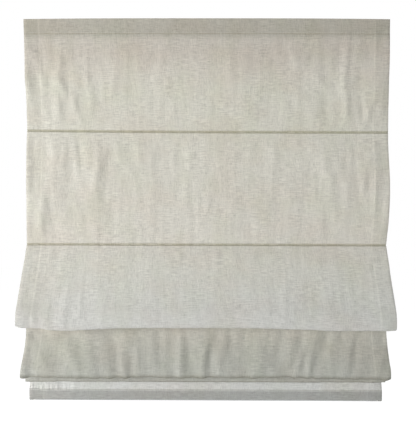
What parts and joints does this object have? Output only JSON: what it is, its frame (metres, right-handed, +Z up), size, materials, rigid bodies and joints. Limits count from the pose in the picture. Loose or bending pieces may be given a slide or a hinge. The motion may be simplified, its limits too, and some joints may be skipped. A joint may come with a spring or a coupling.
{
  "type": "roman blind",
  "caption": "Cordless roman blind in natural linen, hung from a headrail on wall brackets and partly raised into soft folds.",
  "frame": {"origin": "middle of the four wall screw holes, on the wall plane", "axes": "+X along the headrail, to the right as seen from the room; +Y into the wall; +Z up"},
  "size_m": [1, 0.1093, 1.0636],
  "materials": {
    "linen": "matte",
    "tape": "matte",
    "hook_and_loop": "matte",
    "cord": "matte",
    "headrail_aluminium": "satin",
    "bar_aluminium": "satin",
    "bracket_steel": "satin",
    "shaft_steel": "satin",
    "spring_steel": "satin",
    "white_plastic": "satin",
    "clear_plastic": "satin",
    "glass_fibre_rod": "satin"
  },
  "bodies": {
    "root": {"headrail": "headrail_aluminium", "headrail_end_cap_left": "white_plastic", "wall_bracket_left": "bracket_steel", "headrail_end_cap_right": "white_plastic", "wall_bracket_right": "bracket_steel", "hook_strip": "hook_and_loop", "loop_strip": "hook_and_loop", "cloth_upper": "linen", "cloth_fold": "linen", "rod_pocket_1": "tape", "rod_1": "glass_fibre_rod", "rod_tips_1": "white_plastic", "cord_rings_1": "clear_plastic", "rod_pocket_2": "tape", "rod_2": "glass_fibre_rod", "rod_tips_2": "white_plastic", "cord_rings_2": "clear_plastic", "spool_cradle_left": "white_plastic", "lift_cord_left": "cord", "spool_cradle_middle": "white_plastic", "lift_cord_middle": "cord", "spool_cradle_right": "white_plastic", "lift_cord_right": "cord", "spring_case": "white_plastic", "spring_case_cover": "white_plastic", "torsion_spring": "spring_steel"},
    "stack": {"cloth_lower": "linen", "rod_pocket_3": "tape", "rod_3": "glass_fibre_rod", "rod_tips_3": "white_plastic", "cord_rings_3": "clear_plastic", "rod_pocket_4": "tape", "rod_4": "glass_fibre_rod", "rod_tips_4": "white_plastic", "cord_rings_4": "clear_plastic", "rod_pocket_5": "tape", "rod_5": "glass_fibre_rod", "rod_tips_5": "white_plastic", "cord_rings_5": "clear_plastic", "weight_bar": "bar_aluminium", "bar_cap_left": "white_plastic", "bar_cap_right": "white_plastic", "cord_bead_left": "clear_plastic", "cord_bead_middle": "clear_plastic", "cord_bead_right": "clear_plastic"},
    "winder": {"cord_spool_left": "white_plastic", "wound_cord_left": "cord", "cord_spool_middle": "white_plastic", "wound_cord_middle": "cord", "cord_spool_right": "white_plastic", "wound_cord_right": "cord", "lift_shaft": "shaft_steel", "spring_collar": "white_plastic"}
  },
  "joints": [
    {"name": "lift", "type": "slide", "parent": "root", "child": "stack", "axis": [0, 0, 1], "range_m": [-0.1, 0.192], "deforming": ["cloth_fold", "lift_cord_left", "lift_cord_middle", "lift_cord_right"]},
    {"name": "winder_turn", "type": "hinge", "parent": "root", "child": "winder", "pos_m": [0, -0.0174, 0], "axis": [-1, 0, 0], "range_deg": [-541, 1034]}
  ],
  "couplings": [
    {"joint": "winder_turn", "follows": "lift", "rad_per_m": 93.458}
  ]
}
